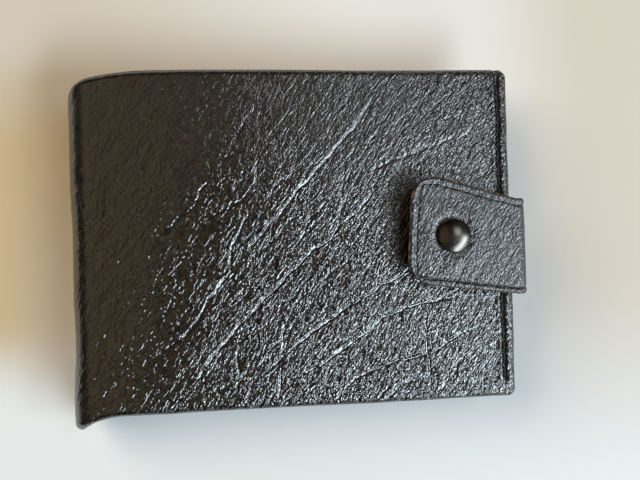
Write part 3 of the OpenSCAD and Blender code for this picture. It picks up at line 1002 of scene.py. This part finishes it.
def line_of(a, b, z):
    """Places along a straight line from a to b, in mm."""
    a, b = Vector((*a, z)), Vector((*b, z))
    count = int((b - a).length / FINE_PITCH)
    angle = np.arctan2(a.x - b.x, b.y - a.y)
    return [(*(a + (b - a) * (k + 0.5) / count), angle)
            for k in range(count)]


def frame_lines(left, bottom, right, top, z, closed):
    corners = [(left, top), (left, bottom), (right, bottom), (right, top)]
    ends = corners[1:] + (corners[:1] if closed else [])
    return [place for a, b in zip(corners, ends) for place in line_of(a, b, z)]


MARGIN, OPEN_MARGIN, FILM_MARGIN = 2.2, 3.5, 1.2
border = (LEAF_LOW.x + MARGIN, LEAF_LOW.y + MARGIN, LEAF_HIGH.x - MARGIN,
          LEAF_HIGH.y - OPEN_MARGIN)
round_film = (FILM_LOW.x - FILM_MARGIN, FILM_LOW.y - FILM_MARGIN,
              FILM_HIGH.x + FILM_MARGIN, FILM_HIGH.y + FILM_MARGIN)
top_rows = frame_lines(*border, LEAF_HIGH.z - FINE_SUNK, False)
top_rows += frame_lines(*round_film, LEAF_HIGH.z - FINE_SUNK, True)
threads += [
    sewn("thread_leaf_under", one_stitch(*FINE_STITCH),
         frame_lines(*border, LEAF_LOW.z + FINE_SUNK, False), -1, "leaf",
         None, 15),
    sewn("thread_leaf_top", one_stitch(*FINE_STITCH), top_rows, 1, "leaf",
         None, 16)]
print("rows of thread:", len(threads))

# %% [markdown]
# The hinge tape is cloth and bends with the leaf, so it needs rows of
# points along its height. A grid gives them.

# %% Build the hinge tape
LEAF_HINGE = hinge("leaf_fold")
tape_a, tape_b = low("leaf_tape"), high("leaf_tape")
TAPE_T, TAPE_OUT = 0.44, 0.2
bend = 0.75
straight = LEAF_HINGE.z - bend - tape_a.z
bent = straight + bend * np.pi / 2


def tape_place(c, w):
    t = np.clip((c - straight) / bend, 0, np.pi / 2)
    out = np.clip(c - bent, 0, None)
    x = LEAF_HINGE.x + bend * (1 - np.cos(t)) + out
    z = tape_a.z + np.clip(c, 0, straight) + bend * np.sin(t)
    return np.stack([x - TAPE_OUT * np.cos(t), w,
                     z + TAPE_OUT * np.sin(t)], 1)


leaf_tape = sheet_mesh(
    "leaf_hinge_tape",
    steps((0, straight, 0.35), (straight, bent, 0.15),
          (bent, bent + tape_b.x - LEAF_HINGE.x - bend, 0.3)),
    steps((tape_a.y, tape_b.y, 2.0)), tape_place)
make_solid(leaf_tape, (-1, 0, 0), TAPE_T)
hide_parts("leaf_tape")
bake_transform(leaf_tape)

# %% [markdown]
# ## Finishes
#
# A finish is a small sum of patterns. The first class lets such a sum be
# written as plain arithmetic: each operator adds its Math node. The second
# class holds one material and makes every other kind of node.


# %% Shader arithmetic
def operator(operation):
    """The method for a value on the left and the one for the right."""
    return (lambda self, other: self.maths(operation, other),
            lambda self, other: self.maths(operation, other, True))


class Value:
    """A number that may change over a surface."""

    def __init__(self, finish, socket):
        self.finish, self.socket = finish, socket

    def maths(self, operation, other=0.0, turned=False):
        pair = (other, self) if turned else (self, other)
        node = self.finish.node("ShaderNodeMath", {"operation": operation},
                                {0: pair[0], 1: pair[1]})
        return Value(self.finish, node.outputs[0])

    __add__, __radd__ = operator("ADD")
    __sub__, __rsub__ = operator("SUBTRACT")
    __mul__, __rmul__ = operator("MULTIPLY")
    __truediv__, _ = operator("DIVIDE")
    least, _ = operator("MINIMUM")
    most, _ = operator("MAXIMUM")

    def __abs__(self):
        return self.maths("ABSOLUTE")


class Finish:
    """One material, built node by node."""

    def __init__(self, name, **settings):
        self.material = bpy.data.materials.new(name)
        self.material.use_nodes = True
        self.tree = self.material.node_tree
        self.surface = self.tree.nodes["Principled BSDF"]
        for key, value in settings.items():
            self.surface.inputs[key.replace("_", " ")].default_value = value
        self.place = self.node("ShaderNodeTexCoord", {}, {}).outputs["Object"]

    def node(self, kind, settings, inputs):
        node = self.tree.nodes.new(kind)
        for key, value in settings.items():
            setattr(node, key, value)
        for key, value in inputs.items():
            socket = node.inputs[key]
            if isinstance(value, Value):
                value = value.socket
            if isinstance(value, bpy.types.NodeSocket):
                self.tree.links.new(value, socket)
            else:
                socket.default_value = value
        return node

    def vector(self, operation, first, second, out=0):
        return self.node("ShaderNodeVectorMath", {"operation": operation},
                         {0: first, 1: second}).outputs[out]

    def turned(self, scale, angle=(0, 0, 0)):
        """Object coordinates, turned and scaled. A scale is per metre."""
        if not isinstance(scale, tuple):
            scale = (scale, scale, scale)
        turned_place = self.node("ShaderNodeMapping", {}, {
            "Vector": self.place, "Rotation": angle}).outputs[0]
        return self.vector("MULTIPLY", turned_place, scale)

    def split(self, vector):
        node = self.node("ShaderNodeSeparateXYZ", {}, {0: vector})
        return [Value(self, socket) for socket in node.outputs]

    def noise(self, place, detail, rough):
        node = self.node("ShaderNodeTexNoise", {}, {
            "Vector": place, "Scale": 1.0, "Detail": detail,
            "Roughness": rough})
        return Value(self, node.outputs["Fac"])

    def folded(self, place, detail, rough, top):
        """Noise folded at its middle, which gives long branching lines."""
        return self.ramp(abs(self.noise(place, detail, rough) - 0.5) * 2,
                         0.0, top)

    def cells(self, place, top):
        """A net of cells: 0 on its lines and 1 inside each cell."""
        node = self.node("ShaderNodeTexVoronoi",
                         {"feature": "DISTANCE_TO_EDGE"},
                         {"Vector": place, "Scale": 1.0})
        return self.ramp(Value(self, node.outputs["Distance"]), 0.0, top)

    def ramp(self, value, a, b, low_end=0.0, high_end=1.0):
        node = self.node("ShaderNodeMapRange",
                         {"interpolation_type": "SMOOTHSTEP"}, {
                             "Value": value, "From Min": a, "From Max": b,
                             "To Min": low_end, "To Max": high_end})
        return Value(self, node.outputs["Result"])

    def blend(self, amount, first, second):
        node = self.node("ShaderNodeMix", {"data_type": "RGBA"},
                         {0: amount, 6: first, 7: second})
        return node.outputs[2]

    def connect(self, name, value):
        if isinstance(value, Value):
            value = value.socket
        self.tree.links.new(value, self.surface.inputs[name])

    def look(self, colour, roughness, height, depth, strength):
        """Connects what varies. The height is in units of depth, in mm."""
        self.connect("Base Color", colour)
        self.connect("Roughness", roughness)
        self.connect("Normal", self.node("ShaderNodeBump", {}, {
            "Height": height, "Distance": depth * MM,
            "Strength": strength}).outputs["Normal"])
        return self.material


def rgb(red, green, blue, share=1.0):
    return (red * share, green * share, blue * share, 1.0)


SLANT = (0, 0, np.radians(-56))     # the grain's long direction
GENTLE, STEEP = 1.05, 0.3           # widths of a crease's two sides, in mm


# %% [markdown]
# ## Black pebbled leather
#
# The grain is a net of small pebbles, each about a millimetre, and longer
# wrinkles run through it from lower left to upper right. A cell pattern
# stretched along that line gives the pebbles, and folded noise the
# wrinkles. The dye is nearly black. Toward the spine a brown tone is
# painted in, a painted warm reflection of the room. The grain's tops are
# polished, and its valleys are painted darker, a painted shade.


# %% The outer leather
def pebbled_leather(name, relief=1.0, dull=0.0, finer=1.0):
    finish = Finish(name, IOR=2.22)
    grain_place = finish.turned(
        (900 * finer, 1320 * finer, 1080 * finer), SLANT)
    drift = finish.node("ShaderNodeTexNoise", {}, {
        "Vector": grain_place, "Scale": 0.5, "Detail": 1.0})
    # the net of pebbles is pulled about, so that no two are alike
    drift = finish.node("ShaderNodeVectorMath", {"operation": "SCALE"}, {
        0: drift.outputs["Color"], "Scale": 2.0}).outputs[0]
    pebble = finish.cells(finish.vector("ADD", grain_place, drift), 0.34)
    wrinkle = finish.folded(finish.turned(
        (215 * finer, 570 * finer, 400 * finer), SLANT), 1.5, 0.5, 0.26)
    fold = finish.folded(finish.turned((50, 190, 160), SLANT), 3.0, 0.55,
                         0.09)
    pores = finish.noise(finish.turned(2600), 2.0, 0.6)
    # creases: the side that faces the free edge is gentle, the other steep
    line, depth, _ = finish.split(finish.node(
        "ShaderNodeAttribute", {"attribute_name": "crease"},
        {}).outputs["Vector"])
    wide = GENTLE - finish.ramp(line, -0.05, 0.05) * (GENTLE - STEEP)
    valley = 1 - finish.ramp(abs(line) / wide, 0.0, 1.0)
    pressed = valley * depth * 6.0
    # hands and pockets have pressed the grain flat toward the spine
    east, north, _ = finish.split(finish.place)
    patch = finish.noise(finish.turned(70), 3.0, 0.6) - 0.5
    # the same ramp paints a warm reflection of the room toward the spine
    wear_and_sheen_ramp = finish.ramp(east * 0.93 - north * 0.37 + patch * 0.03,
                        -0.050, 0.006, 0.34, 1.0)
    calm = finish.ramp(north, 0.006, 0.030) * (
        1 - finish.ramp(east, 0.015, 0.045))
    height = ((pebble * 0.29 + wrinkle * 0.44 + fold * 0.34) * relief
              * wear_and_sheen_ramp * (1 - calm * 0.3) * (1 - pressed.least(1.0) * 0.8)
              + pores * 0.02 - valley * (depth * 5.0).least(0.95))
    worn = finish.ramp(finish.noise(finish.turned(38), 4.0, 0.6),
                       0.42, 0.72)
    # the grain's tops: real polish for the roughness, and the mask of the painted shade in its
    # valleys
    polish_and_valley_shade = pebble * 0.5 + wrinkle * 0.5
    # painted warm reflection: a brown tone, used toward the spine
    warm_reflection_tone = finish.blend(worn * 0.6, rgb(0.0120, 0.0100, 0.0076),
                          rgb(0.0200, 0.0160, 0.0118))
    deep = finish.blend(worn * 0.6, rgb(0.0023, 0.0025, 0.0026),
                        rgb(0.0041, 0.0041, 0.0039))
    # painted warm reflection toward the spine, the black dye farther out
    colour = finish.blend(finish.ramp(wear_and_sheen_ramp, 0.43, 0.74), warm_reflection_tone, deep)
    # painted shade: the valleys of the pebbles and wrinkles are painted nearly black
    colour = finish.blend(polish_and_valley_shade * 0.7 + 0.3, rgb(0.0011, 0.0011, 0.0011),
                          colour)
    matt_corner = finish.ramp(east * 0.8 + north * 0.6, -0.005, 0.055)
    roughness = (0.165 + dull + matt_corner * 0.13 + calm * 0.05
                 - polish_and_valley_shade * 0.03 + worn * 0.03 + pores * 0.04)
    return finish.look(colour, roughness, height, 0.3, 1.0)


# %% [markdown]
# The raw edge of the tab was painted black once. The paint has rubbed off
# in flecks and shows the rust-brown core of the hide.


# %% The raw edge and the inner leather
def raw_edge(name):
    finish = Finish(name, IOR=1.45)
    fleck = finish.ramp(finish.noise(finish.turned((520, 520, 900)), 4.0,
                                     0.65), 0.5, 0.62)
    fibre = finish.noise(finish.turned((1500, 1500, 4200)), 3.0, 0.6)
    brown = finish.blend(fibre, rgb(0.095, 0.044, 0.023),
                         rgb(0.34, 0.200, 0.120))
    colour = finish.blend(fleck * 0.7, rgb(0.023, 0.020, 0.018), brown)
    return finish.look(colour, 0.55 + fleck * 0.3, fibre, 0.12, 0.7)


def smooth_leather(name):
    finish = Finish(name, IOR=1.5)
    tone = (0.030, 0.025, 0.022)
    grain = finish.cells(finish.turned(2100), 0.2)
    cloud = finish.noise(finish.turned(70), 4.0, 0.6)
    soft_fold = finish.folded(finish.turned((95, 210, 150), (0, 0, 0.5)),
                              3.0, 0.55, 0.1)
    return finish.look(
        finish.blend(cloud, rgb(*tone, 0.75), rgb(*tone, 1.3)),
        0.42 + cloud * 0.2 - grain * 0.06,
        grain * 0.45 + cloud + soft_fold * 0.35, 0.14, 0.8)


# %% [markdown]
# ## Cloth, board, thread, metal and film
#
# The lining is a plain weave: two sets of waves crossing at right angles,
# half a thread out of step. The gaps between its threads are painted darker,
# a painted shade, and so are the grooves between the plies of the thread.
# The snap is plated dark grey and polished.


# %% The other finishes
def woven_cloth(name, tone, pitch):
    finish = Finish(name, Specular_IOR_Level=0.25, Sheen_Weight=0.15)
    wave = 2 * np.pi / pitch
    x, y, z = finish.split(finish.turned(1000))
    across = ((x + z) * wave).maths("SINE")
    along = (y * wave).maths("SINE")
    weave_and_gap_shade = abs(across).most(abs(along)) * 0.7 + across * along * 0.3
    cloud = finish.noise(finish.turned(300), 3.0, 0.6)
    # painted shade: the cloth is darker in the gaps between its threads
    colour = finish.blend(weave_and_gap_shade * 0.7 + cloud * 0.3, rgb(*tone, 0.55),
                          rgb(*tone, 1.2))
    return finish.look(colour, 0.95 - weave_and_gap_shade * 0.12, weave_and_gap_shade, 0.09, 0.8)


def waxed_thread(name):
    finish = Finish(name)
    ply_and_groove_shade = Value(finish, finish.node(
        "ShaderNodeTexWave", {"bands_direction": "DIAGONAL"}, {
            "Vector": finish.turned(1000), "Scale": 1.1,
            "Distortion": 0.4}).outputs["Fac"])
    # painted shade: the thread is darker in the grooves between its plies
    colour = finish.blend(ply_and_groove_shade, rgb(0.008, 0.008, 0.008),
                          rgb(0.032, 0.030, 0.027))
    return finish.look(colour, 0.42 + ply_and_groove_shade * 0.2, ply_and_groove_shade, 0.1, 0.7)


def gunmetal(name):
    finish = Finish(name, Metallic=1.0)
    scuff = finish.noise(finish.turned(900), 5.0, 0.7)
    wear = finish.ramp(finish.noise(finish.turned(220), 3.0, 0.6),
                       0.45, 0.75)
    colour = finish.blend(wear, rgb(0.117, 0.104, 0.094),
                          rgb(0.190, 0.163, 0.140))
    return finish.look(colour, 0.21 + scuff * 0.1 + wear * 0.06, scuff,
                       0.012, 0.4)


def mottled(name, scale, detail, rough, colours, roughness, change, depth,
            strength, **settings):
    """One noise that shifts colour, roughness and height together."""
    finish = Finish(name, **settings)
    noise = finish.noise(finish.turned(scale), detail, rough)
    return finish.look(finish.blend(noise, *colours),
                       roughness + noise * change, noise, depth, strength)


outer_leather = pebbled_leather("black_pebbled_leather")
tab_leather = pebbled_leather("black_tab_leather", 0.80, 0.10, 1.1)
edge_leather = raw_edge("raw_leather_edge")
inner_leather = smooth_leather("inner_leather")
lining_cloth = woven_cloth("lining_cloth", (0.03, 0.028, 0.027), 0.45)
tape_cloth = woven_cloth("tape_cloth", (0.024, 0.023, 0.023), 0.6)
board = mottled("stiffening_board", 1400, 4.0, 0.65,
                (rgb(0.28, 0.22, 0.15), rgb(0.5, 0.41, 0.29)), 0.8, 0.15,
                0.08, 0.6)
thread = waxed_thread("waxed_thread")
snap_metal = gunmetal("gunmetal")
film = mottled("clear_film", 60, 2.0, 0.5,
               (rgb(0.88, 0.91, 0.92), rgb(0.95, 0.96, 0.96)), 0.1, 0.08,
               0.3, 0.5, IOR=1.46, Transmission_Weight=0.9)


def dress(obj, *materials):
    """Puts materials in an object's slots, and keeps each face's slot."""
    for k, material in enumerate(materials):
        if k < len(obj.data.materials):
            obj.data.materials[k] = material
        else:
            obj.data.materials.append(material)


for pieces, materials in (
        ((cover_front, cover_back), (outer_leather,)),
        ((strap_flap, strap_base), (tab_leather, edge_leather)),
        ((under_flap, under_base), (inner_leather, edge_leather)),
        ((*panels, leaf_back, leaf_front), (inner_leather,)),
        ((lining_front, lining_back), (lining_cloth,)),
        ((leaf_tape,), (tape_cloth,)),
        ((snap_cap,), (snap_metal,)),
        (threads, (thread,))):
    for obj in pieces:
        dress(obj, *materials)
for node, material in (("board_back", board), ("board_front", board),
                       ("snap_stud", snap_metal), ("snap_rivet", snap_metal),
                       ("snap_socket", snap_metal), ("leaf_window", film)):
    dress(frame["nodes"][node], material)
print("finishes:", len(bpy.data.materials))

# %% [markdown]
# ## The table, the light and the camera
#
# The wallet lies on a plain pale table. Near the wallet its colour holds
# painted light and shade: a painted warm shadow at the far left and above
# the wallet, painted cool window light near the viewer and a painted darker
# band to the right. Farther out the table has its plain colour. A low
# window to the right gives the glints on the grain, the crescent on the snap
# and the shadow to the left. A far wall and a ceiling throw warm light back
# from the left. The camera looks almost straight down, a little from the
# left.

# %% Table
bpy.ops.object.select_all(action="DESELECT")
bpy.ops.mesh.primitive_plane_add(size=3, location=(0, 0, -0.00005))
table = bpy.context.object
table.name = "table"
table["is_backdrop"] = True
tabletop = Finish("pale_tabletop", Roughness=0.6, Specular_IOR_Level=0.3)
cloud = tabletop.noise(tabletop.turned(3.0), 2.0, 0.5)
east, north, _ = tabletop.split(tabletop.place)
# painted shadow: the far left, where the wallet's warm shadow is painted and the painted cool
# light is kept out
painted_shadow_patch = (1 - tabletop.ramp(east, -0.085, -0.045)) * (
    1 - tabletop.ramp(0 - north + cloud * 0.01, 0.024, 0.050))
# painted window light: cooler and brighter toward the viewer
toward = tabletop.ramp(0 - north - east * 0.25 + cloud * 0.02, -0.01,
                       0.075) * (1 - painted_shadow_patch)
# painted shadow above the wallet, darker and warmer at the left
painted_top_shadow = tabletop.blend(tabletop.ramp(east, -0.07, 0.03),
                          rgb(0.540, 0.500, 0.436), rgb(0.690, 0.676, 0.654))
away = Value(tabletop, tabletop.vector(
    "LENGTH", tabletop.place, (0, 0, 0), "Value"))
# the painted warm shadow at the left fades into the pale table to the right
tone = tabletop.blend(
    tabletop.ramp(east + cloud * 0.02, -0.085, 0.055),
    rgb(0.490, 0.384, 0.228), rgb(0.704, 0.680, 0.650))
for amount, colour in (
        (tabletop.ramp(north, 0.025, 0.062), painted_top_shadow),
        # a painted darker band of shade right of the wallet
        (tabletop.ramp(east, 0.055, 0.095) * 0.8, rgb(0.565, 0.512, 0.430)),
        (toward, rgb(0.682, 0.710, 0.730)),
        # far from the wallet the painted light and shade give way to the plain table
        (tabletop.ramp(away, 0.115, 0.24), rgb(0.688, 0.682, 0.670))):
    tone = tabletop.blend(amount, tone, colour)
tabletop.connect("Base Color", tone)
dress(table, tabletop.material)


# %% Lights, with places and sizes in metres and power in watts
def lamp(name, place, aim, size, power, colour):
    bpy.ops.object.light_add(type="AREA", location=place)
    light = bpy.context.object
    light.name = name
    light.data.shape = "RECTANGLE"
    light.data.size, light.data.size_y = size
    light.data.energy = power
    light.data.color = colour
    light.rotation_euler = (Vector(aim) - Vector(place)).to_track_quat(
        "-Z", "Y").to_euler()
    return light


lamp("window", (0.81, -0.58, 0.80), (0.01, 0, 0), (1.30, 0.34), 19.2,
     (0.79, 0.91, 1.0))
fill = lamp("far_wall", (-0.84, 0.52, 0.62), (-0.1, 0, 0), (1.0, 0.8), 15.3,
            (1.0, 0.87, 0.70))
fill.visible_glossy = False
lamp("ceiling", (-0.62, 0.15, 1.2), (-0.62, 0.15, 0), (0.9, 1.5), 1.12,
     (1.0, 0.72, 0.42))
lamp("pane_above", (0.62, 0.36, 1.2), (0.62, 0.36, 0), (0.5, 0.52), 2.7,
     (0.96, 0.97, 1.0))
world = bpy.data.worlds.new("room")
bpy.context.scene.world = world
world.use_nodes = True
world.node_tree.nodes["Background"].inputs["Color"].default_value = rgb(
    1.0, 0.86, 0.68)
world.node_tree.nodes["Background"].inputs["Strength"].default_value = 0.028
bpy.context.scene.view_settings.view_transform = "Standard"

# %% Camera
camera_data = bpy.data.cameras.new("camera")
camera = bpy.data.objects.new("camera", camera_data)
bpy.context.scene.collection.objects.link(camera)
camera_data.sensor_fit = "HORIZONTAL"
camera_data.sensor_width = 36
camera_data.lens = 36       # as long as the picture is wide: 53 degrees
camera_data.clip_start = 0.01
# found by fitting the cover's corners and the tab to the picture
camera.location = Vector((-12.6, -2.7, 189.9)) * MM
camera.rotation_euler = np.radians((0.83, -6.14, -1.62))
bpy.context.scene.camera = camera

# %% [markdown]
# ## Finish
#
# The box of the dressed wallet is printed beside that of the solid one.

# %% Print the sizes of both boxes
dressed_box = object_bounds()
for label, box in (("solid box", solid_box), ("dressed box", dressed_box)):
    print(label, [round(v / MM, 1) for corner in box for v in corner])
